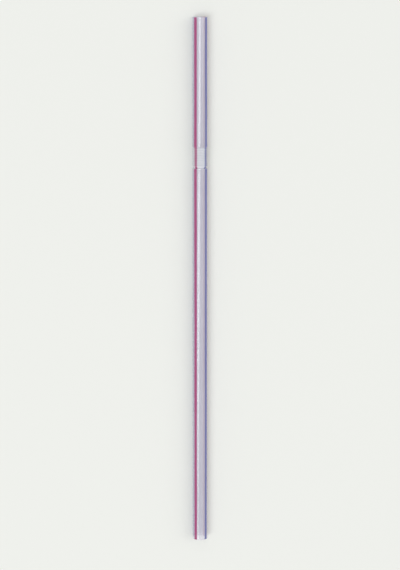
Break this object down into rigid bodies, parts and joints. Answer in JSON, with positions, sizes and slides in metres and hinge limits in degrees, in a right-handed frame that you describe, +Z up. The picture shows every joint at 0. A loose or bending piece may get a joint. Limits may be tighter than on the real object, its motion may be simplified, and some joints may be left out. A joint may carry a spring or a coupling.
{
  "type": "drinking straw",
  "caption": "Bendable drinking straw: a long thin plastic tube with a closed bellows near its mouth end, cut square at both ends.",
  "frame": {"origin": "below the middle of the straw's length, on the surface it lies on", "axes": "+Y along the straw towards its mouth end, +Z up from the surface it lies on, +X to the right"},
  "size_m": [0.006, 0.21, 0.006],
  "materials": {
    "straw_plastic": "thin milky translucent polypropylene with a soft gloss, and straight magenta and blue stripes along its length"
  },
  "bodies": {
    "root": {"drinking_straw": "straw_plastic"}
  },
  "joints": []
}
